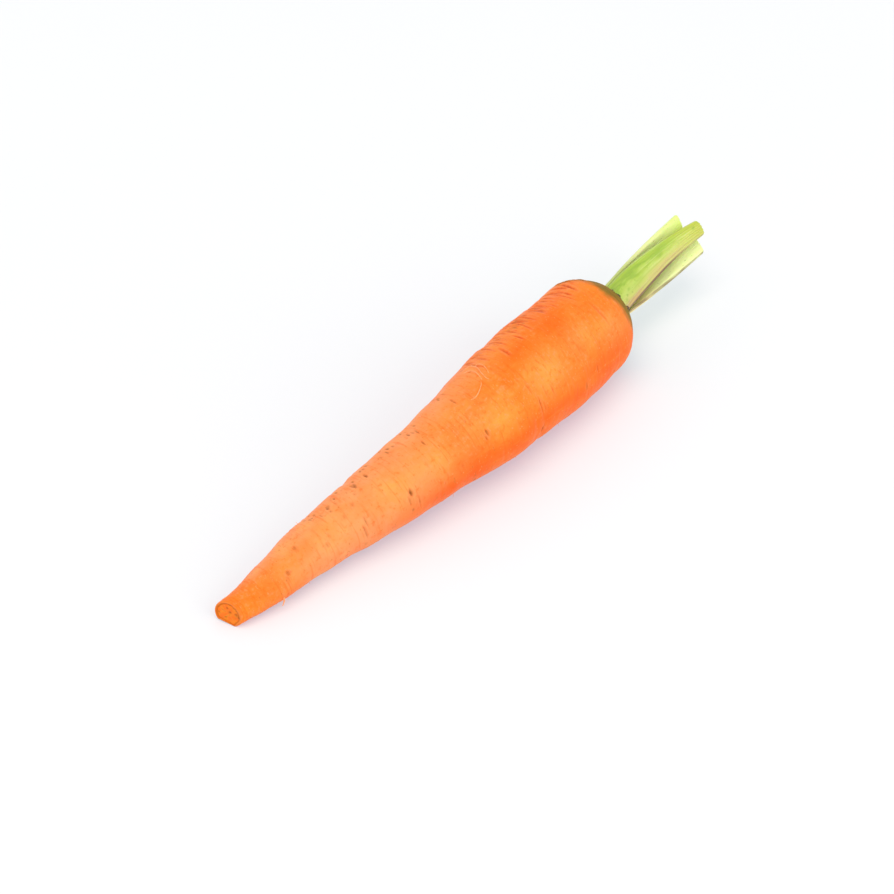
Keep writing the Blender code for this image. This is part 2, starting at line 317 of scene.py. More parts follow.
def fine_creases():
    """Hair-thin rings that run part of the way round everywhere."""
    draw = random.Random(FINE_SEED)
    made = []
    for _ in range(FINE_COUNT):
        at = mixed(*FINE_REACH, draw.random() ** FINE_CROWDING)
        turn, half_arc = draw.uniform(0, tau), draw.uniform(*FINE_HALF_ARC)
        depth, width = draw.uniform(*FINE_DEPTH) * MM, draw.uniform(*FINE_WIDTH) * MM
        slant = draw.uniform(-FINE_SLANT, FINE_SLANT) * MM
        made.append(groove(at, turn, half_arc, depth, width, slant, "fine"))
    return made


def shoulder_folds():
    """Close folds on the upper side of the shoulder, and a few on its other sides."""
    draw = random.Random(FOLD_SEED)
    made = []
    for i in range(FOLD_COUNT):
        at = mixed(*FOLD_REACH, (i + draw.random()) / FOLD_COUNT)
        size = draw.random()
        depth, width = mixed(*FOLD_DEPTH, size) * MM, mixed(*FOLD_WIDTH, draw.random()) * MM
        if i % FOLD_STRAY:
            turn = radians(draw.gauss(FOLD_TURN, FOLD_SPREAD))
        else:
            turn, depth = draw.uniform(0, tau), 0.5 * depth
        half_arc = mixed(*FOLD_HALF_ARC, size * draw.random() ** 0.5)
        made.append(groove(at, turn, half_arc, depth, width, draw.uniform(*FOLD_SLANT) * MM, "fold"))
    return made


def scar_groove(at, degrees, half_length, half_width, depth, brown, slant=0.0):
    turn, half_arc = radians(degrees), half_length * MM / root_radius(at * MM)
    return groove(at * MM, turn, half_arc, depth * MM, half_width * MM, slant * MM, "scar", brown)


def side_root_scars():
    made = [scar_groove(*scar) for scar in SCARS]
    draw = random.Random(DASH_SEED)
    for at, degrees in DASH_GROUPS:
        for _ in range(draw.randint(*DASHES_IN_GROUP)):
            spot = (at + draw.gauss(0, DASH_SPREAD_ALONG), degrees + draw.gauss(0, DASH_SPREAD_ROUND))
            size = [draw.uniform(*span) for span in DASH_SIZES]
            made.append(scar_groove(*spot, *size, slant=draw.uniform(-1, 1)))
    draw = random.Random(ROW_SCAR_SEED)
    for row in SCAR_ROWS:
        at = ROW_SCAR_FIRST
        while at < ROW_SCAR_LAST:
            at += ROW_SCAR_SPACING * draw.uniform(*ROW_SCAR_UNEVEN)
            size = [draw.uniform(*span) for span in ROW_SCAR_SIZES]
            made.append(scar_groove(min(at, ROW_SCAR_LIMIT), row + draw.gauss(0, ROW_SCAR_SPREAD), *size))
    return made


GROOVES = main_creases() + fine_creases() + shoulder_folds() + side_root_scars()


@functools.lru_cache(maxsize=None)
def grooves_near(x_mm):
    """The grooves that reach this millimetre of the root."""
    near = []
    for g in GROOVES:
        reach = GROOVE_END * g.width + abs(g.slant) * g.half_arc + MM
        if abs(g.at - x_mm * MM) <= reach:
            near.append(g)
    return near


def groove_marks(x, turn):
    """How deep the grooves are here, and the shares of painted shade in folds, painted highlight on lips
    beside grooves, and scar.
    """
    depth = fold = lip_highlight = scar = 0.0
    for g in grooves_near(round(x / MM)):
        away = remainder(turn - g.turn, tau)
        if abs(away) > g.half_arc:
            continue
        fade = 1 - (away / g.half_arc) ** 2
        width = g.width * mixed(SCAR_END_WIDTH, 1.0, fade) if g.kind == "scar" else g.width
        across = (x - g.at - g.slant * away) / width
        if abs(across) > GROOVE_END:
            continue
        bottom = fade * exp(-across * across)
        depth += g.depth * bottom
        if g.kind != "crease":
            lip = LIP_HEIGHT * fade * exp(-((abs(across) - LIP_AT) ** 2) * LIP_SHARPNESS)
            depth -= g.depth * lip
            # The lip's share of painted highlight, on the raised edge beside the groove.
            lip_highlight = max(lip_highlight, lip * g.depth / FULL_LIP)
        if g.kind == "fold":
            # The fold's share of painted shade, darkest at its bottom.
            fold = max(fold, bottom * g.depth / FULL_FOLD)
        if g.kind == "scar":
            scar = max(scar, g.brown * fade**0.7 * exp(-across * across * 1.6))
    return depth, min(fold, 1.0), min(lip_highlight, 1.0), scar


def wave(x, swing, height_length_turn):
    height, length, turn = height_length_turn
    return height * sin(tau * x / length + turn * swing)


def straight_place(x, turn, radius):
    """Where a point would lie if the root were straight, in millimetres. Patterns follow this."""
    return Vector((x, radius * cos(turn), radius * sin(turn))) / MM


def skin_height(x, turn, radius, depth):
    """How far the skin stands out from a plain round section."""
    oval = OVAL_SHARE * radius * cos(2 * turn + x / OVAL_TWIST)
    lobe = LOBE_SHARE * radius * cos(3 * turn - x / LOBE_TWIST + 1)
    waves = wave(x, sin(turn), LONG_WAVE) + wave(x, cos(turn), SHORT_WAVE)
    place = straight_place(x, turn, radius)
    lumps = sum(height * noise.noise(place / size) for height, size in LUMPS)
    stretched = Vector((place.x / RIPPLE_LENGTH, place.y / RIPPLE_WIDTH, place.z / RIPPLE_WIDTH))
    ripple = RIPPLE_HEIGHT * noise.noise(stretched)
    calm = eased(x / CALM_AT_TIP) * eased((CROWN_AT - x) / CALM_AT_CROWN)
    fine = eased(x / MM) * (lumps + ripple) * MM
    return calm * (oval + lobe + waves - depth) + fine * eased((CROWN_AT - x) / (3 * MM))


def shaved_radius(x, turn, radius):
    """The radius near the cut tip, where one side is flat."""
    towards = cos(turn - TIP_FLAT_TURN)
    if towards <= 0:
        return radius
    share = mixed(TIP_FLAT_SHARE, 1.0, eased(x / TIP_CUT_REACH))
    return radius * min(1.0, share / towards)


def cut_relief(share, turn):
    """How far the cut face stands out: the rim a little proud, and a fine groove where it meets the core."""
    core = -CORE_DEPTH * (1 - eased((share - CORE_EDGE) / CORE_SLOPE))
    seam = -SEAM_DEPTH * exp(-(((share - SEAM_AT) / SEAM_WIDTH) ** 2))
    out = FACE_GRAIN * share
    rough_face = FACE_ROUGHNESS * noise.noise(Vector((3.1, out * cos(turn), out * sin(turn))))
    return (core + seam + rough_face) * eased((1 - share) / FACE_EDGE) * MM


def root_point(x, turn, radius, depth):
    """A point of the root in the frame of the whole carrot."""
    along, side, up = root_directions(x)
    full = root_radius(x)
    out = 0.0
    if x > TIP_EDGE and radius > SKIN_SHARE * full:
        radius += skin_height(x, turn, radius, depth)
    elif x < 0.01 * MM:
        out = cut_relief(radius / full, turn)
    if x < TIP_CUT_REACH:
        radius = shaved_radius(x, turn, radius)
    sideways, upwards = radius * cos(turn), radius * sin(turn)
    near_tip = 1 - eased(x / TIP_CUT_REACH)
    lean = TIP_CUT_LEAN * (sideways - root_radius(0.0))
    slant = near_tip * (TIP_CUT_SLANT_SIDE * sideways + TIP_CUT_SLANT_UP * upwards + lean)
    return root_middle(x) - along * (slant + out) + side * sideways + up * upwards


def root_profile():
    """(distance from the cut tip, radius) from the middle of the cut tip to the middle of the crown."""
    face = root_radius(0.0) - TIP_EDGE
    points = [(0.0, face * i / CUT_FACE_RINGS) for i in range(CUT_FACE_RINGS + 1)]
    for i in range(1, EDGE_RINGS + 1):
        bend = pi / 2 * i / EDGE_RINGS
        points.append((TIP_EDGE * (1 - cos(bend)), face + TIP_EDGE * sin(bend)))
    rings = round((SHOULDER_AT - TIP_EDGE) / RING_SPACING)
    for i in range(1, rings + 1):
        x = mixed(TIP_EDGE, SHOULDER_AT, i / rings)
        points.append((x, root_radius(x)))
    turned = acos(CROWN_RADIUS / SHOULDER_RADIUS)
    rings = round(SHOULDER_RADIUS * turned / RING_SPACING)
    for i in range(1, rings + 1):
        x = SHOULDER_AT + SHOULDER_RADIUS * sin(turned * i / rings)
        points.append((x, root_radius(x)))
    points += [(CROWN_AT, CROWN_RADIUS * (1 - i / CROWN_RINGS)) for i in range(1, CROWN_RINGS + 1)]
    return points


def spin_round(mesh, outline, sides):
    """Turns an outline of (along, out) points once round the X axis."""
    line = [mesh.verts.new((x, r, 0)) for x, r in outline]
    edges = [mesh.edges.new(pair) for pair in zip(line, line[1:])]
    bmesh.ops.spin(
        mesh, geom=line + edges, cent=(0, 0, 0), axis=(1, 0, 0), angle=tau, steps=sides, use_merge=True
    )
    bmesh.ops.remove_doubles(mesh, verts=mesh.verts, dist=0.001 * MM)


# Patches of colour on the skin: distance from the tip (mm), direction (degrees), reach along (mm), reach
# round (radians) and strength.
GOLD_PATCHES = [
    (112, 133, 9, 0.45, 0.65), (120, 150, 7, 0.4, 0.25),
    (132, 128, 9, 0.4, 0.35), (91, 137, 5.5, 0.42, 0.8),
    (83, 125, 6, 0.35, 0.3), (70, 136, 5, 0.5, 0.5),
    (63, 120, 6, 0.4, 0.3), (55.5, 131, 5.5, 0.5, 0.6),
    (34, 118, 8, 0.7, 0.4), (22, 100, 6, 0.6, 0.3),
    (40, -60, 9, 0.7, 0.4), (90, -45, 10, 0.6, 0.5),
    (130, -70, 9, 0.5, 0.4), (110, 0, 8, 0.5, 0.4),
    (60, 10, 8, 0.6, 0.4),
]
DEEP_PATCHES = [
    (74, 156, 4, 0.3, 0.8), (67, 168, 3.5, 0.35, 0.7),
    (80, 160, 4, 0.3, 0.4), (109, 98, 10, 0.3, 0.8),
    (124, 98, 9, 0.3, 0.8), (139, 104, 9, 0.3, 0.5),
    (146, 165, 6, 0.5, 0.4), (25, 118, 5, 0.4, 0.35),
    (10, 140, 6, 0.5, 0.4), (100, -120, 12, 0.5, 0.6),
    (60, -100, 10, 0.5, 0.5), (120, 30, 12, 0.4, 0.5),
]
# Peach patches on the side that faces the camera are painted highlight.
HIGHLIGHT_PATCHES = [
    (62, 152, 16, 0.5, 0.45), (38, 156, 11, 0.6, 0.50),
    (66, 106, 11, 0.4, 0.35), (86, 118, 9, 0.4, 0.30),
    (112, 133, 8, 0.4, 0.40), (126, 124, 8, 0.4, 0.35),
    (141, 152, 9, 0.5, 0.40),
]
# The painted highlight on the upper side and the painted shade on the near, lower flank, as (direction, reach
# round).
UPPER_SIDE_HIGHLIGHT = (60, 0.5)
FLANK_SHADE = (-175, 0.55)
# The olive crown: where it starts and how soft its edge is (mm), and where it reaches further down, as
# reach (mm), direction and reach round.
OLIVE_FROM, OLIVE_EDGE = 147.2, 4.5
OLIVE_REACHES = [(6.2, 25, 0.95), (3.5, 112, 0.27)]


def towards(turn, degrees, arc):
    """1 in this direction round the root, and less to both sides of it."""
    return exp(-((remainder(turn - radians(degrees), tau) / arc) ** 2))


def patch_strength(patches, x, turn):
    strength = 0.0
    for at, degrees, reach, arc, most in patches:
        off = (x / MM - at) / reach
        if abs(off) > 2.5:
            continue
        away = remainder(turn - radians(degrees), tau) / arc
        strength = max(strength, most * exp(-off * off - away * away))
    return strength


def skin_colour_marks(x, turn, radius):
    """The shares of golden, deep orange with painted flank shade, peach with painted highlight, and olive at
    a place of the skin.
    """
    # Painted highlight: paler on the upper side, less at the very tip and towards the crown, and in the peach
    # patches.
    painted_highlight = towards(turn, *UPPER_SIDE_HIGHLIGHT)
    painted_highlight *= mixed(0.85, 0.24, eased((x / MM - 88) / 22)) * mixed(0.2, 1.0, eased((x / MM - 2) / 10))
    painted_highlight = max(painted_highlight, patch_strength(HIGHLIGHT_PATCHES, x, turn))
    # Painted shade in deep orange on the near, lower flank, from 40 mm on towards the crown.
    flank_shade = towards(turn, *FLANK_SHADE) * eased((x / MM - 40) / 30)
    pale_tip = 1 - eased((x / MM - 40) / 55)
    place = straight_place(x, turn, radius)
    ragged = 1.6 * noise.noise(place / 5.0) + 0.7 * noise.noise(place / 1.3)
    reach = sum(far * towards(turn, degrees, arc) for far, degrees, arc in OLIVE_REACHES)
    return {
        "gold": patch_strength(GOLD_PATCHES, x, turn),
        "deep_tone_and_flank_shade": max(patch_strength(DEEP_PATCHES, x, turn), 0.9 * flank_shade),
        "peach_tip_and_highlight": min(1.0, painted_highlight + 0.80 * pale_tip * eased((x - 6 * MM) / (24 * MM))),
        "crown": eased((x / MM - OLIVE_FROM + reach + ragged) / OLIVE_EDGE),
    }


def cut_dots_and_edge_shade(x, turn, radius):
    """How brown the cut tip is: painted shade along the lower edge of the side that is shaved flat, and brown
    dots on its face.
    """
    if x > MM:
        return 0.0
    # Painted shade on the cut's rim where the flat side lies lowest, by the table.
    flat = eased((cos(turn - TIP_FLAT_TURN) - 0.68) / 0.1)
    brown = 0.9 * flat * eased((radius / root_radius(0.0) - 0.90) / 0.07) * (1 - eased((x / MM - 0.2) / 0.6))
    place = Vector((cos(turn), sin(turn))) * radius
    for share, degrees, size in CUT_DOTS:
        way = Vector((cos(radians(degrees)), sin(radians(degrees))))
        off = (place - way * share * root_radius(0.0)).length / (size * MM)
        brown = max(brown, CUT_DOT_STRENGTH * exp(-off * off))
    return brown


def add_marks(mesh_data, columns):
    """Writes one number, or one vector, for each vertex under each name, for the materials to read."""
    for name, values in columns.items():
        vector = isinstance(values[0], Vector)
        kind, field = ("FLOAT_VECTOR", "vector") if vector else ("FLOAT", "value")
        attribute = mesh_data.attributes.new(name, kind, "POINT")
        flat = [number for value in values for number in value] if vector else values
        attribute.data.foreach_set(field, flat)


def new_piece(name, mesh, marks=None, smooth_angle=60):
    """Makes the finished mesh an object of the scene."""
    data = bpy.data.meshes.new(name)
    mesh.to_mesh(data)
    mesh.free()
    add_marks(data, marks or {})
    data.shade_smooth()
    data.set_sharp_from_angle(angle=radians(smooth_angle))
    piece = bpy.data.objects.new(name, data)
    scene.collection.objects.link(piece)
    return piece


def round_axis(place):
    """How far a place is along the X axis, how far out from it, and in which direction."""
    return place.x, hypot(place.y, place.z), atan2(place.z, place.y)


def make_root():
    mesh = bmesh.new()
    spin_round(mesh, root_profile(), RING_SIDES)
    names = ("straight", "fold", "lip", "scar", "gold", "deep_tone_and_flank_shade", "peach_tip_and_highlight", "crown", "cut", "core")
    marks = {name: [] for name in names}
    for vert in mesh.verts:
        x, radius, turn = round_axis(vert.co)
        depth, fold, lip, scar = groove_marks(x, turn)
        marks["straight"].append(straight_place(x, turn, radius))
        # Painted shade in the folds, and painted highlight on the lips beside grooves.
        marks["fold"].append(fold)
        marks["lip"].append(lip)
        # The scar mark also carries the cut's brown dots and its painted edge shade.
        marks["scar"].append(max(scar, cut_dots_and_edge_shade(x, turn, radius)))
        for name, value in skin_colour_marks(x, turn, radius).items():
            marks[name].append(value)
        marks["cut"].append(1.0 if x < CUT_MARK_END else 0.0)
        marks["core"].append(radius / root_radius(0.0))
        vert.co = root_point(x, turn, radius, depth)
        vert.co.z = max(vert.co.z, 0.0)
    bmesh.ops.recalc_face_normals(mesh, faces=mesh.faces)
    return new_piece("carrot_root", mesh, marks)


# The skin's colours, as the light they send back.
SKIN_ORANGE = (0.87, 0.165, 0.012, 1.0)
SKIN_WARM = (0.88, 0.215, 0.022, 1.0)
SKIN_GOLD = (0.89, 0.335, 0.055, 1.0)
# Deep orange: patches, mottle and rings, and the painted shade on the near, lower flank.
SKIN_DEEP = (0.86, 0.103, 0.003, 1.0)
# Peach: the pale tip, mottling, and the painted highlight on the upper side and facing the camera.
SKIN_PEACH = (0.87, 0.305, 0.120, 1.0)
# Pale flecks, and the painted highlight on the lips beside grooves.
SKIN_FLECK_AND_LIP_HIGHLIGHT = (0.89, 0.300, 0.110, 1.0)
# The painted shade in the folds.
SKIN_FOLD_SHADE = (0.50, 0.075, 0.022, 1.0)
# The brown of scars and of the cut's dots, and the painted shade on the cut's lower edge.
SKIN_SCAR_AND_EDGE_SHADE = (0.21, 0.058, 0.012, 1.0)
SKIN_SPECK = (0.50, 0.140, 0.024, 1.0)
SKIN_OLIVE = (0.23, 0.140, 0.018, 1.0)
SKIN_OLIVE_DARK = (0.125, 0.080, 0.010, 1.0)
CUT_CORE = (0.90, 0.180, 0.016, 1.0)
CUT_SEAM = (0.60, 0.130, 0.006, 1.0)
CUT_FLESH = (0.90, 0.250, 0.022, 1.0)
CUT_RIM = (0.80, 0.220, 0.040, 1.0)
CUT_BROWN = (0.45, 0.110, 0.008, 1.0)


def add_node(tree, kind, inputs=None, **settings):
    """Adds a node. An input's value is a number, a colour or another node's output."""
    made = tree.nodes.new("ShaderNode" + kind)
    for name, value in settings.items():
        setattr(made, name, value)
    for socket, value in (inputs or {}).items():
        if isinstance(value, bpy.types.NodeSocket):
            tree.links.new(value, made.inputs[socket])
        else:
            made.inputs[socket].default_value = value
    return made


def new_finish(name, **constant):
    """A material with its shader, whose constant sockets are set straight on it."""
    material = bpy.data.materials.new(name)
    material.use_nodes = True
    shader = material.node_tree.nodes["Principled BSDF"]
    for socket, value in constant.items():
        shader.inputs[socket.replace("_", " ")].default_value = value
    return material, material.node_tree, shader


def mark(tree, name, output="Fac"):
    return add_node(tree, "Attribute", attribute_name=name).outputs[output]


def grain(tree, place, scale, detail):
    """A cloudy pattern, with its own scale on each axis."""
    scaled = add_node(tree, "Mapping", {"Vector": place, "Scale": scale}).outputs[0]
    cloudy = {"Vector": scaled, "Scale": 1.0, "Detail": detail, "Roughness": 0.5}
    return add_node(tree, "TexNoise", cloudy).outputs[0]


def ramp(tree, value, low, high, start=0.0, end=1.0):
    """start below low, end above high, and a soft step between."""
    sockets = {0: value, 1: low, 2: high, 3: start, 4: end}
    return add_node(tree, "MapRange", sockets, interpolation_type="SMOOTHSTEP").outputs[0]


def times(tree, a, b):
    return add_node(tree, "Math", {0: a, 1: b}, operation="MULTIPLY").outputs[0]


def plus(tree, a, b):
    return add_node(tree, "Math", {0: a, 1: b}, operation="ADD").outputs[0]


def tinted(tree, share, below, above):
    """One colour shading into another."""
    return add_node(tree, "Mix", {0: share, 6: below, 7: above}, data_type="RGBA").outputs[2]


def set_surface(tree, shader, colour, rough):
    tree.links.new(colour, shader.inputs["Base Color"])
    tree.links.new(rough, shader.inputs["Roughness"])


def carve(tree, shader, height, distance, strength=1.0):
    """Fine relief that is too small for the mesh."""
    bump = add_node(tree, "Bump", {"Height": height, "Distance": distance, "Strength": strength})
    tree.links.new(bump.outputs[0], shader.inputs["Normal"])


def root_skin():
    material, tree, shader = new_finish(
        "carrot_skin_fresh",
        IOR=1.38,
        Specular_IOR_Level=0.10,
        Specular_Tint=(1.0, 0.80, 0.60, 1.0),
        Subsurface_Weight=0.15,
        Subsurface_Scale=1.2 * MM,
        Subsurface_Radius=(1.0, 0.35, 0.12),
        Coat_Weight=0.03,
        Coat_Roughness=0.22,
    )
    place = mark(tree, "straight", "Vector")
    clouds = grain(tree, place, (0.045, 0.09, 0.09), 3.0)
    blotch = grain(tree, place, (0.16, 0.22, 0.22), 3.0)
    rings = grain(tree, place, (1.3, 0.10, 0.10), 3.0)
    streaks = grain(tree, place, (0.10, 0.9, 0.9), 2.0)
    mottle = grain(tree, place, (0.8, 0.8, 0.8), 4.0)
    smudge = grain(tree, place, (1.1, 0.38, 0.38), 3.0)
    specks = grain(tree, place, (1.6, 0.85, 0.85), 1.0)
    flecks = grain(tree, place, (2.4, 1.0, 1.0), 1.0)
    pores = grain(tree, place, (5.0, 3.5, 3.5), 2.0)

    colour = tinted(tree, ramp(tree, clouds, 0.38, 0.62), SKIN_ORANGE, SKIN_WARM)
    uneven = ramp(tree, blotch, 0.32, 0.68, 0.6, 1.0)
    # Peach towards the tip, with painted highlight on the upper side and facing the camera.
    colour = tinted(tree, times(tree, mark(tree, "peach_tip_and_highlight"), uneven), colour, SKIN_PEACH)
    colour = tinted(tree, ramp(tree, blotch, 0.52, 0.78, 0.0, 0.35), colour, SKIN_GOLD)
    # Deep orange patches, and the painted shade on the near, lower flank.
    colour = tinted(tree, times(tree, mark(tree, "deep_tone_and_flank_shade"), uneven), colour, SKIN_DEEP)
    colour = tinted(tree, times(tree, mark(tree, "gold"), uneven), colour, SKIN_GOLD)
    pale = ramp(tree, mark(tree, "deep_tone_and_flank_shade"), 0.0, 0.7, 1.0, 0.15)
    mottled = times(tree, ramp(tree, mottle, 0.5, 0.75, 0.0, 0.45), pale)
    colour = tinted(tree, mottled, colour, SKIN_PEACH)
    for pattern, numbers, over in (
        (mottle, (0.28, 0.45, 0.40, 0.0), SKIN_DEEP),
        (rings, (0.54, 0.76, 0.0, 0.45), SKIN_DEEP),
        (streaks, (0.55, 0.8, 0.0, 0.16), SKIN_GOLD),
        (flecks, (0.64, 0.76, 0.0, 0.55), SKIN_FLECK_AND_LIP_HIGHLIGHT),
        (smudge, (0.58, 0.76, 0.0, 0.32), SKIN_SPECK),
        (specks, (0.66, 0.78, 0.0, 0.55), SKIN_SPECK),
    ):
        colour = tinted(tree, ramp(tree, pattern, *numbers), colour, over)
    # Painted highlight on the raised lips beside grooves.
    colour = tinted(tree, times(tree, mark(tree, "lip"), 0.6), colour, SKIN_FLECK_AND_LIP_HIGHLIGHT)
    # Painted shade in the folds, broken up by the mottle.
    broken = ramp(tree, mottle, 0.30, 0.55, 1.0, 0.65)
    colour = tinted(tree, times(tree, mark(tree, "fold"), broken), colour, SKIN_FOLD_SHADE)
    worn = ramp(tree, mottle, 0.35, 0.6, 1.0, 0.7)
    dirty = ramp(tree, blotch, 0.3, 0.6, 0.90, 1.0)
    olive = tinted(tree, ramp(tree, smudge, 0.36, 0.72, 0.0, 0.6), SKIN_OLIVE, SKIN_OLIVE_DARK)
    olive = tinted(tree, ramp(tree, rings, 0.50, 0.72, 0.0, 0.4), olive, SKIN_OLIVE_DARK)
    colour = tinted(tree, times(tree, mark(tree, "crown"), dirty), colour, olive)

    core = mark(tree, "core")
    ragged = plus(tree, core, ramp(tree, mottle, 0.3, 0.7, -0.03, 0.03))
    face = tinted(tree, ramp(tree, mottle, 0.40, 0.60), CUT_CORE, CUT_FLESH)
    face = tinted(tree, ramp(tree, specks, 0.58, 0.72, 0.0, 0.3), face, CUT_BROWN)
    face = tinted(tree, ramp(tree, ragged, 0.72, 0.80, 0.0, 0.9), face, CUT_SEAM)
    face = tinted(tree, ramp(tree, ragged, 0.84, 0.90), face, CUT_RIM)
    colour = tinted(tree, mark(tree, "cut"), colour, face)
    # Scar brown, and the painted shade on the cut's lower edge.
    colour = tinted(tree, times(tree, mark(tree, "scar"), worn), colour, SKIN_SCAR_AND_EDGE_SHADE)

    rough = ramp(tree, mottle, 0.3, 0.7, 0.36, 0.50)
    rough = plus(tree, rough, times(tree, mark(tree, "scar"), 0.3))
    rough = plus(tree, rough, times(tree, mark(tree, "crown"), 0.25))
    set_surface(tree, shader, colour, rough)
    relief = plus(tree, times(tree, pores, 0.35), times(tree, rings, 0.5))
    relief = plus(tree, relief, times(tree, mottle, 0.5))
    carve(tree, shader, relief, 0.10 * MM, 0.8)
    return material


root = make_root()
root.data.materials.append(root_skin())
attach(root, "root")
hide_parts("root")


# ---- The dry ring at the crown ----
# Dead bases of the first leaves, dried brown and torn, in a low ring round the feet of the stalks. They
# grew out of the crown and stay stuck to it, with a few loose fibres.

SCALE_GAP = 0.3 * MM
SCALE_RING_INNER = 5.95 * MM
SCALE_RING_OUTER = 6.65 * MM
SCALE_COUNT = 17
SCALE_SIDES = 408
SCALE_LOW = 0.6 * MM
SCALE_TALL = 2.2 * MM
SCALE_LEAST_SHARE = 0.35
SCALE_POWER = 0.7
SCALE_SEED = 3
SCALE_POINT_SHARE = 0.55
# Height (share) and fineness of the two noises that tear the edge.
SCALE_TEARS = ((0.45, 3), (0.35, 13))
SCALE_CURL, SCALE_CURL_FINENESS = 0.10, 6
SCALE_WALL_STEPS = 5
SCALE_WALL_LEAN = 0.5
# The inner wall from the edge down, as (share of the height, share of the thickness).
SCALE_INNER_WALL = ((1.0, 0.3), (0.5, 0.12), (0.0, 0.0))

CROWN_ALONG, CROWN_SIDE, CROWN_UP = root_directions(CROWN_AT)


def crown_point(height, sideways, upwards):
    """A point by the crown, measured from the middle of its flat top."""
    return root_middle(CROWN_AT) + CROWN_ALONG * height + CROWN_SIDE * sideways + CROWN_UP * upwards


def scale_top(turn, shares):
    """How tall the torn edge of the ring is in this direction."""
    place = turn % tau / tau * SCALE_COUNT
    point = shares[int(place) % SCALE_COUNT] * abs(sin(pi * place)) ** SCALE_POWER
    torn = SCALE_POINT_SHARE * point
    for height, fine in SCALE_TEARS:
        torn += height * noise.noise(Vector((fine * cos(turn), fine * sin(turn), 0.5)))
    return mixed(SCALE_LOW, SCALE_TALL, min(max(torn, 0.0), 1.0))


def make_scales():
    draw = random.Random(SCALE_SEED)
    shares = [draw.uniform(SCALE_LEAST_SHARE, 1.0) for _ in range(SCALE_COUNT)]
    thick = SCALE_RING_OUTER - SCALE_RING_INNER
    outline = [(0.0, SCALE_RING_INNER)]
    for i in range(SCALE_WALL_STEPS + 1):
        rise = i / SCALE_WALL_STEPS
        outline.append((rise, SCALE_RING_OUTER - thick * SCALE_WALL_LEAN * rise))
    outline += [(rise, SCALE_RING_INNER + thick * out) for rise, out in SCALE_INNER_WALL]
    mesh = bmesh.new()
    spin_round(mesh, outline, SCALE_SIDES)
    places = []
    for vert in mesh.verts:
        rise, out, turn = round_axis(vert.co)
        height = mixed(SCALE_GAP, scale_top(turn, shares), rise)
        fine = SCALE_CURL_FINENESS
        curl = noise.noise(Vector((fine * cos(turn), fine * sin(turn), 2 * rise)))
        out += SCALE_CURL * curl * rise * MM
        places.append(Vector((height, out * turn, out)) / MM)
        vert.co = crown_point(height, out * cos(turn), out * sin(turn))
    bmesh.ops.recalc_face_normals(mesh, faces=mesh.faces)
    return new_piece("dry_crown_ring", mesh, {"straight": places})


DRY_BROWN = (0.085, 0.045, 0.018, 1.0)
DRY_TAN = (0.30, 0.17, 0.06, 1.0)
DRY_BLACK = (0.030, 0.016, 0.008, 1.0)


def dry_skin():
    material, tree, shader = new_finish("dry_leaf_bases", IOR=1.45)
    place = mark(tree, "straight", "Vector")
    fibres = grain(tree, place, (0.5, 4.0, 1.0), 3.0)
    patches = grain(tree, place, (0.7, 0.8, 0.8), 2.0)
    colour = tinted(tree, ramp(tree, fibres, 0.35, 0.65), DRY_BLACK, DRY_BROWN)
    colour = tinted(tree, ramp(tree, patches, 0.50, 0.75, 0.0, 0.9), colour, DRY_TAN)
    set_surface(tree, shader, colour, ramp(tree, fibres, 0.3, 0.7, 0.7, 0.95))
    carve(tree, shader, fibres, 0.25 * MM)
    return material


dry_finish = dry_skin()
scales = make_scales()
scales.data.materials.append(dry_finish)
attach(scales, "root")
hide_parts("crown_scales")


# ---- The leaf stalks ----
# Four stumps of leaf stalks, cut off square above the crown. Each clasps the crown with a thin sheath and
# narrows to a ribbed half round with a channel on its inner face. They are crisp, pale green and watery.

# Name, CAD node, direction of the foot (degrees), its distance from the crown's middle, half the arc it
# clasps (degrees), length, end sideways and up, bow sideways and up, end width and thickness, cut slant,
# and how far it twists from foot to end (degrees).
STALKS = [
    ("stalk_front", "leaf_stalk_front", 127.0, 4.7, 73.0, 42.0, -2.9, 5.0, 1.1, 0.8, 4.9, 3.3, -0.16, 0.0),
    ("stalk_left", "leaf_stalk_left", 2.0, 4.7, 46.0, 40.0, 3.2, 5.5, 0.0, 0.0, 5.0, 3.0, 0.10, -38.0),
    ("stalk_right", "leaf_stalk_right", 258.0, 4.7, 46.0, 40.5, -3.9, 0.0, 0.0, 0.0, 6.0, 3.2, 0.35, 34.0),
    ("stalk_inner", "leaf_stalk_inner", 40.0, 0.9, 70.0, 33.0, 0.0, 0.6, 0.0, 0.0, 3.1, 2.2, 0.05, 0.0),
]
STALK_GAP = 0.3 * MM
SHEATH_THICKNESS = 1.7 * MM
STALK_SIDES = 112
STALK_RINGS = 120
STALK_CUT_RINGS = 8
STALK_RIBS = 5
RIB_HEIGHT = 0.15 * MM
STRIA_COUNT = 17
STRIA_HEIGHT = 0.05 * MM
CHANNEL_DEPTH = 0.28
SECTION_POWER = 0.8
NARROWING_POWER = 0.8
THICK_BY = 0.7
STALK_BEND_RADIUS = 18 * MM
TWIST_POWER = 1.4
CHANNEL_FADE = 0.5
STRIA_WOBBLE = 0.6
STALK_LUMP = 0.10 * MM
CUT_SHARE = 0.2
CUT_ROUGHNESS = 0.12 * MM
CUT_HOLLOW = 0.10 * MM
# The share of the length from which on a point is on the cut face.
CUT_FACE_FROM = 0.9985
# The width and thickness from the middle (mm) that the patterns take every stalk to have.
PATTERN_WIDTH, PATTERN_THICKNESS = 6, 3


def stalk_outline():
    """(share of the length, share of the way out) from the foot to the middle of the cut end."""
    points = [(0.0, 0.0), (0.0, 0.5), (0.0, 1.0)]
    points += [(0.994 * i / STALK_RINGS, 1.0) for i in range(1, STALK_RINGS + 1)]
    points += [(0.998, 0.985), (1.0, 0.95)]
    points += [(1.0, 0.95 * (1 - i / STALK_CUT_RINGS)) for i in range(1, STALK_CUT_RINGS + 1)]
    return points


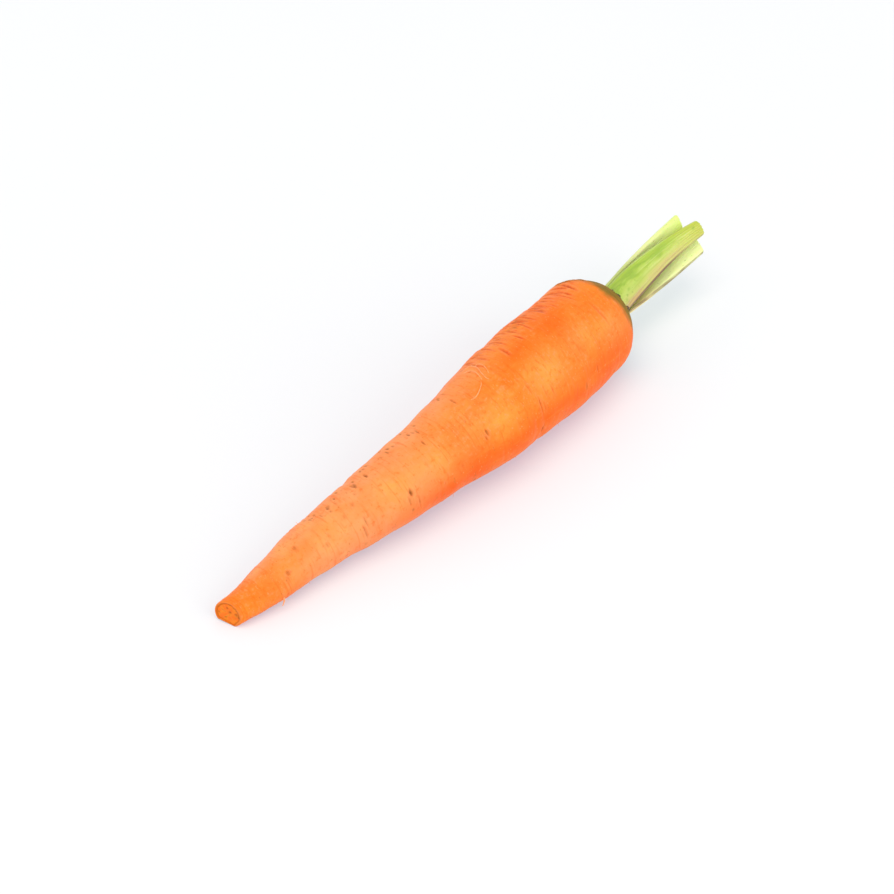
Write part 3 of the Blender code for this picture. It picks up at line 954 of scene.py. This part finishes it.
def stalk_point(stalk, share, angle, inner):
    """A point of the stalk, at this share of its length, angle round its section and share of the way out."""
    _, _, direction, foot, half_arc, length, end_side, end_up, bow_side, bow_up, *end = stalk
    end_width, end_thick, slant, twist = end
    turn = radians(direction)
    facing = turn + radians(twist) * share**TWIST_POWER
    foot = foot * MM
    half_width = mixed(foot * radians(half_arc), end_width * MM / 2, share**NARROWING_POWER)
    thick = mixed(SHEATH_THICKNESS, end_thick * MM, eased(share / THICK_BY))
    bend_radius = mixed(foot, STALK_BEND_RADIUS, eased(share))
    bow = 4 * share * (1 - share) * MM
    cut = slant * eased((share - 1 + CUT_SHARE) / CUT_SHARE)
    middle_side = mixed(foot * cos(turn), end_side * MM, share) + bow * bow_side
    middle_up = mixed(foot * sin(turn), end_up * MM, share) + bow * bow_up
    face = sin(angle)
    off = copysign(thick / 2 * abs(face) ** SECTION_POWER, face)
    if face > 0:
        off += RIB_HEIGHT * cos(STALK_RIBS * pi * cos(angle)) * face
    else:
        off += CHANNEL_DEPTH * thick * face * face * (1 - CHANNEL_FADE * eased(share))
    wobble = STRIA_WOBBLE * noise.noise(Vector((share * 3, direction, 2 * cos(angle))))
    off += STRIA_HEIGHT * cos(STRIA_COUNT * pi * cos(angle) + wobble) * abs(face) * face
    off += STALK_LUMP * noise.noise(Vector((share * 7 + direction, 2.5 * cos(angle), face))) * abs(face)
    across = half_width * cos(angle) * inner
    off *= inner
    about = across / bend_radius
    outwards = (bend_radius + off) * cos(about) - bend_radius
    sideways = (bend_radius + off) * sin(about)
    height = mixed(STALK_GAP, length * MM, share) + cut * sideways
    if share > CUT_FACE_FROM:
        rough = CUT_ROUGHNESS * noise.noise(Vector((across / MM, off / MM, direction)))
        height += rough - CUT_HOLLOW * (1 - inner)
    return crown_point(
        height,
        middle_side + outwards * cos(facing) - sideways * sin(facing),
        middle_up + outwards * sin(facing) + sideways * cos(facing),
    )


def make_stalk(stalk):
    name, length = stalk[0], stalk[5]
    mesh = bmesh.new()
    spin_round(mesh, stalk_outline(), STALK_SIDES)
    marks = {key: [] for key in ("straight", "height", "side", "spot", "cut", "rim")}
    for vert in mesh.verts:
        share, inner, angle = round_axis(vert.co)
        side, face = cos(angle), sin(angle)
        straight = (share * length, PATTERN_WIDTH * side * inner, PATTERN_THICKNESS * face * inner)
        marks["straight"].append(Vector(straight))
        marks["height"].append(share)
        marks["side"].append(side * inner)
        marks["spot"].append(stalk_spots(share, side, face) if name == SPOTTED_STALK else 0.0)
        marks["cut"].append(1.0 if share > CUT_FACE_FROM else 0.0)
        marks["rim"].append(inner)
        vert.co = stalk_point(stalk, share, angle, inner)
    bmesh.ops.recalc_face_normals(mesh, faces=mesh.faces)
    return new_piece(name, mesh, marks)


MINT = (0.53, 0.61, 0.155, 1.0)
GREEN = (0.34, 0.48, 0.045, 1.0)
LEAF = (0.22, 0.37, 0.032, 1.0)
YELLOW = (0.51, 0.53, 0.062, 1.0)
PALE = (0.78, 0.86, 0.36, 1.0)
TAN = (0.55, 0.33, 0.145, 1.0)
BROWN = (0.17, 0.080, 0.040, 1.0)
LIME = (0.66, 0.80, 0.19, 1.0)
BUTTER = (0.90, 0.78, 0.33, 1.0)
STALK_CUT = (0.62, 0.68, 0.20, 1.0)

# For each stalk: the colour of its two edges, of its body, of its cut end and of its foot, how much of
# each edge is dried brown, how strong the green line along its lower side is, and how strong the foot's
# own colour is.
STALK_LOOKS = {
    "stalk_front": (GREEN, MINT, GREEN, YELLOW, GREEN, 0.8, 1.0, 0.6, 0.35),
    "stalk_left": (LIME, PALE, LIME, LIME, GREEN, 0.3, 0.1, 0.0, 0.6),
    "stalk_right": (PALE, PALE, PALE, PALE, BUTTER, 0.8, 0.15, 0.0, 1.0),
    "stalk_inner": (PALE, YELLOW, PALE, YELLOW, BUTTER, 0.0, 0.0, 0.0, 1.0),
}
# Dark spots on the outer face of the front stalk: height and side (shares), reach along and across.
SPOTTED_STALK = "stalk_front"
STALK_SPOTS = [(0.925, -0.30, 0.014, 0.13), (0.13, 0.02, 0.014, 0.05), (0.07, 0.30, 0.010, 0.05)]
SPOT_STRENGTH = 0.75


def stalk_spots(height, side, face):
    """How dark the spots are here."""
    dark = 0.0
    for at, across, along_reach, side_reach in STALK_SPOTS:
        off = ((height - at) / along_reach) ** 2 + ((side - across) / side_reach) ** 2
        dark = max(dark, SPOT_STRENGTH * exp(-off))
    return dark if face > 0 else 0.0


def stalk_skin(name):
    *colours, low_dry, high_dry, green_line, foot_strength = STALK_LOOKS[name]
    low_edge, high_edge, body_colour, end_colour, foot_colour = colours
    material, tree, shader = new_finish(
        name + "_skin",
        IOR=1.42,
        Subsurface_Weight=0.25,
        Subsurface_Scale=1.2 * MM,
        Subsurface_Radius=(0.6, 1.0, 0.25),
        Coat_Weight=0.10,
        Coat_Roughness=0.3,
    )
    place = mark(tree, "straight", "Vector")
    height, side, rim = mark(tree, "height"), mark(tree, "side"), mark(tree, "rim")
    veins = grain(tree, place, (0.05, 1.3, 1.3), 3.0)
    clouds = grain(tree, place, (0.12, 0.35, 0.35), 2.0)
    dots = grain(tree, place, (0.9, 1.4, 1.4), 1.0)

    wavy_side = plus(tree, side, ramp(tree, clouds, 0.3, 0.7, -0.25, 0.25))
    colour = tinted(tree, ramp(tree, wavy_side, -0.55, 0.35), low_edge, high_edge)
    colour = tinted(tree, ramp(tree, height, 0.55, 1.0, 0.0, 0.75), colour, end_colour)
    colour = tinted(tree, ramp(tree, veins, 0.50, 0.72, 0.0, 0.55), colour, body_colour)
    colour = tinted(tree, ramp(tree, veins, 0.30, 0.46, 0.40, 0.0), colour, PALE)
    foot = ramp(tree, height, 0.20, 0.55, foot_strength, 0.0)
    colour = tinted(tree, foot, colour, foot_colour)
    near_foot = ramp(tree, height, 0.05, 0.30, 0.07, 0.0)
    dotted = ramp(tree, plus(tree, dots, near_foot), 0.68, 0.76, 0.0, 0.6)
    colour = tinted(tree, dotted, colour, LEAF)
    line = times(
        tree,
        ramp(tree, wavy_side, -0.62, -0.42, 0.0, green_line),
        ramp(tree, wavy_side, -0.42, -0.20, 1.0, 0.0),
    )
    line = times(tree, line, ramp(tree, height, 0.45, 0.75, 1.0, 0.0))
    colour = tinted(tree, line, colour, LEAF)
    patchy = ramp(tree, clouds, 0.35, 0.6, 0.45, 1.0)
    fading = ramp(tree, height, 0.50, 0.85, 1.0, 0.25)
    tan_high = times(tree, ramp(tree, side, 0.05, 0.62, 0.0, 0.80 * high_dry), patchy)
    colour = tinted(tree, times(tree, tan_high, fading), colour, TAN)
    low = times(tree, ramp(tree, side, -0.98, -0.91, low_dry, 0.0), patchy)
    high = times(tree, ramp(tree, side, 0.70, 0.80, 0.0, 0.95 * high_dry), fading)
    colour = tinted(tree, plus(tree, low, high), colour, BROWN)
    colour = tinted(tree, mark(tree, "spot"), colour, LEAF)

    bundles = grain(tree, place, (0.0, 2.2, 2.2), 1.0)
    face = tinted(tree, ramp(tree, bundles, 0.55, 0.68), STALK_CUT, LEAF)
    face = tinted(tree, ramp(tree, rim, 0.82, 0.94), face, GREEN)
    face = tinted(tree, ramp(tree, dots, 0.60, 0.75, 0.0, 0.8), face, BROWN)
    colour = tinted(tree, mark(tree, "cut"), colour, face)
    set_surface(tree, shader, colour, ramp(tree, veins, 0.3, 0.7, 0.34, 0.52))
    carve(tree, shader, veins, 0.12 * MM, 0.8)
    return material


for stalk in STALKS:
    piece = make_stalk(stalk)
    piece.data.materials.append(stalk_skin(stalk[0]))
    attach(piece, "root")
    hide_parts(stalk[1])


# ---- The rootlets ----
# Fine side roots and hairs left on the skin. They grew out of it: most are torn off short, and a few lie
# dried and curled against it.

# Each one: radius at its root (mm), then the points it passes, as (distance from the tip, direction,
# height above the skin) in mm, degrees and mm.
ROOTLETS = [
    (0.25, [(97.6, 58, -0.1), (98.6, 66, 0.10), (98.2, 74, 0.12),
            (97.0, 83, 0.12), (96.2, 92, 0.0), (96.6, 98, -0.2)]),
    (0.22, [(95.6, 62, -0.1), (96.6, 69, 0.08), (96.4, 78, 0.10), (95.4, 87, 0.0), (94.6, 93, -0.2)]),
    (0.20, [(99.4, 68, -0.1), (99.8, 75, 0.08), (99.0, 84, 0.08), (97.8, 91, -0.1)]),
    (0.20, [(88.6, 98, -0.1), (90.2, 99.5, 0.05), (92.0, 97, 0.08), (93.8, 93, 0.0), (94.8, 88, -0.2)]),
    (0.30, [(14.5, -163, -0.2), (14.2, -161, 0.5), (13.6, -160, 1.1), (12.9, -157, 1.6)]),
    (0.14, [(118, -55, 0.0), (119.5, -58, 0.6), (121, -63, 0.9), (122, -70, 0.8), (122.2, -77, 0.2)]),
    (0.15, [(70, 10, 0.0), (69, 5, 0.6), (67, 1, 0.7), (65, -1, 0.4), (63.5, -2, 0.1)]),
    (0.13, [(52, -60, 0.0), (51.5, -66, 0.5), (50.6, -73, 0.5), (50.2, -80, 0.1)]),
]
ROOTLET_SIDES = 8
ROOTLET_STEPS_PER_POINT = 4
ROOTLET_END_SHARE = 0.35
# Short stubs in the same rows as the scars and on the upper side, in mm and degrees.
STUB_SEED, STUB_COUNT = 21, 26
STUB_ROWS = SCAR_ROWS + (60,)
STUB_REACH, STUB_SPREAD, STUB_SUNK = (8, 140), 8, -0.2
STUB_LEAN, STUB_LENGTH, STUB_RADIUS = 0.8, (0.3, 0.9), (0.07, 0.12)


def on_skin(at, degrees, height):
    """A point above the skin."""
    x, turn = at * MM, radians(degrees)
    _, side, up = root_directions(x)
    depth = groove_marks(x, turn)[0]
    radius = root_radius(x) + skin_height(x, turn, root_radius(x), depth) + height * MM
    return root_middle(x) + side * radius * cos(turn) + up * radius * sin(turn)


def smooth_path(points, steps):
    """Points on one smooth line through the given ones."""
    columns = [[(i, point[c]) for i, point in enumerate(points)] for c in range(3)]
    last = len(points) - 1
    return [[smooth_value(last * s / steps, column) for column in columns] for s in range(steps + 1)]


def add_tube(mesh, centres, radii):
    """A thin round thread: a ring extruded from point to point, closed at both ends."""
    ring = None
    for i, (centre, radius) in enumerate(zip(centres, radii)):
        ahead = (centres[min(i + 1, len(centres) - 1)] - centres[max(i - 1, 0)]).normalized()
        turned = ahead.to_track_quat("Z", "Y").to_matrix()
        if ring is None:
            ring = bmesh.ops.create_circle(mesh, cap_ends=True, segments=ROOTLET_SIDES, radius=1.0)["verts"]
            rest = [vert.co.copy() for vert in ring]
            cap = [face for face in mesh.faces if all(vert in ring for vert in face.verts)]
        else:
            grown = bmesh.ops.extrude_face_region(mesh, geom=cap)["geom"]
            old = cap
            ring = [part for part in grown if isinstance(part, bmesh.types.BMVert)]
            cap = [part for part in grown if isinstance(part, bmesh.types.BMFace)]
            if i > 1:
                bmesh.ops.delete(mesh, geom=old, context="FACES_ONLY")
            order = {}
            for vert in ring:
                near = min(range(ROOTLET_SIDES), key=lambda k: (last_ring[k] - vert.co).length)
                order[near] = vert
            ring = [order[k] for k in range(ROOTLET_SIDES)]
        for vert, spot in zip(ring, rest):
            vert.co = centre + turned @ (spot * radius)
        last_ring = [vert.co.copy() for vert in ring]


def make_rootlets():
    mesh = bmesh.new()
    draw = random.Random(STUB_SEED)
    threads = list(ROOTLETS)
    for _ in range(STUB_COUNT):
        at, degrees = draw.uniform(*STUB_REACH), draw.choice(STUB_ROWS) + draw.gauss(0, STUB_SPREAD)
        lean, length = draw.uniform(-STUB_LEAN, STUB_LEAN), draw.uniform(*STUB_LENGTH)
        threads.append((draw.uniform(*STUB_RADIUS), [(at, degrees, STUB_SUNK), (at + lean, degrees, length)]))
    for thick, points in threads:
        steps = ROOTLET_STEPS_PER_POINT * len(points)
        centres = [on_skin(*point) for point in smooth_path(points, steps)]
        taper = [thick * MM * mixed(1.0, ROOTLET_END_SHARE, i / steps) for i in range(steps + 1)]
        add_tube(mesh, centres, taper)
    for vert in mesh.verts:
        vert.co.z = max(vert.co.z, 0.0)
    bmesh.ops.recalc_face_normals(mesh, faces=mesh.faces)
    places = [vert.co / MM for vert in mesh.verts]
    return new_piece("rootlets", mesh, {"straight": places})


ROOTLET_PALE = (0.89, 0.37, 0.14, 1.0)
ROOTLET_BROWN = (0.80, 0.28, 0.07, 1.0)


def rootlet_skin():
    material, tree, shader = new_finish(
        "rootlet_skin", IOR=1.45, Subsurface_Weight=0.2, Subsurface_Scale=0.5 * MM
    )
    fibres = grain(tree, mark(tree, "straight", "Vector"), (1.2, 1.2, 1.2), 2.0)
    colour = tinted(tree, ramp(tree, fibres, 0.45, 0.70), ROOTLET_PALE, ROOTLET_BROWN)
    set_surface(tree, shader, colour, ramp(tree, fibres, 0.3, 0.7, 0.5, 0.75))
    carve(tree, shader, fibres, 0.05 * MM)
    return material


rootlets = make_rootlets()
rootlets.data.materials.append(rootlet_skin())
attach(rootlets, "root")


# ---- The table and the light ----
# A plain white table top that glows a little from below, as a photographer's lit white acrylic does, under
# broad soft lights and white surroundings. The top is warm and its glow is cool, and together they are white.

TABLE_SIZE = 6.0
TABLE_DROP = 0.05 * MM
TABLE_WHITE = (0.615, 0.53, 0.45, 1.0)
TABLE_WHITER = (0.625, 0.54, 0.46, 1.0)
TABLE_GLOW = (0.404, 0.713, 1.0, 1.0)
TABLE_GLOW_STRENGTH = 0.408
SURROUNDINGS = (1.0, 0.99, 1.0, 1.0)
SURROUNDINGS_STRENGTH = 0.80
LIGHT_AIM = Vector((0, 0, 0.01))
# Name, direction (azimuth and elevation in degrees), distance, size, power and colour.
LIGHTS = [
    ("softbox_above", -70.0, 72.0, 2.4, 2.2, 28.0, (1.0, 0.98, 0.95)),
    ("softbox_front", 15.0, 28.0, 2.6, 2.4, 25.0, (1.0, 0.98, 0.96)),
    ("softbox_left", -130.0, 30.0, 2.6, 2.0, 5.0, (1.0, 0.98, 0.97)),
]

table_mesh = bmesh.new()
bmesh.ops.create_grid(table_mesh, x_segments=8, y_segments=8, size=TABLE_SIZE / 2)
bmesh.ops.translate(table_mesh, verts=table_mesh.verts, vec=(0, 0, -TABLE_DROP))
table = new_piece("table_top", table_mesh)
table_finish, table_tree, table_shader = new_finish(
    "table_white", Roughness=0.6, Emission_Color=TABLE_GLOW, Emission_Strength=TABLE_GLOW_STRENGTH
)
table_place = add_node(table_tree, "TexCoord").outputs["Object"]
table_clouds = grain(table_tree, table_place, (3.0, 3.0, 3.0), 2.0)
table_colour = tinted(table_tree, ramp(table_tree, table_clouds, 0.3, 0.7), TABLE_WHITE, TABLE_WHITER)
table_tree.links.new(table_colour, table_shader.inputs["Base Color"])
table.data.materials.append(table_finish)

world = bpy.data.worlds.new("surroundings")
world.use_nodes = True
sky = world.node_tree.nodes["Background"]
sky.inputs["Color"].default_value = SURROUNDINGS
sky.inputs["Strength"].default_value = SURROUNDINGS_STRENGTH
scene.world = world

for name, azimuth, elevation, distance, size, power, colour in LIGHTS:
    lamp = bpy.data.lights.new(name, "AREA")
    lamp.shape = "DISK"
    lamp.size = size
    lamp.energy = power
    lamp.color = colour
    place = direction_from(radians(azimuth), radians(elevation)) * distance
    look_back(bpy.data.objects.new(name, lamp), place, LIGHT_AIM)

scene.view_settings.view_transform = "Standard"
scene.view_settings.look = "None"
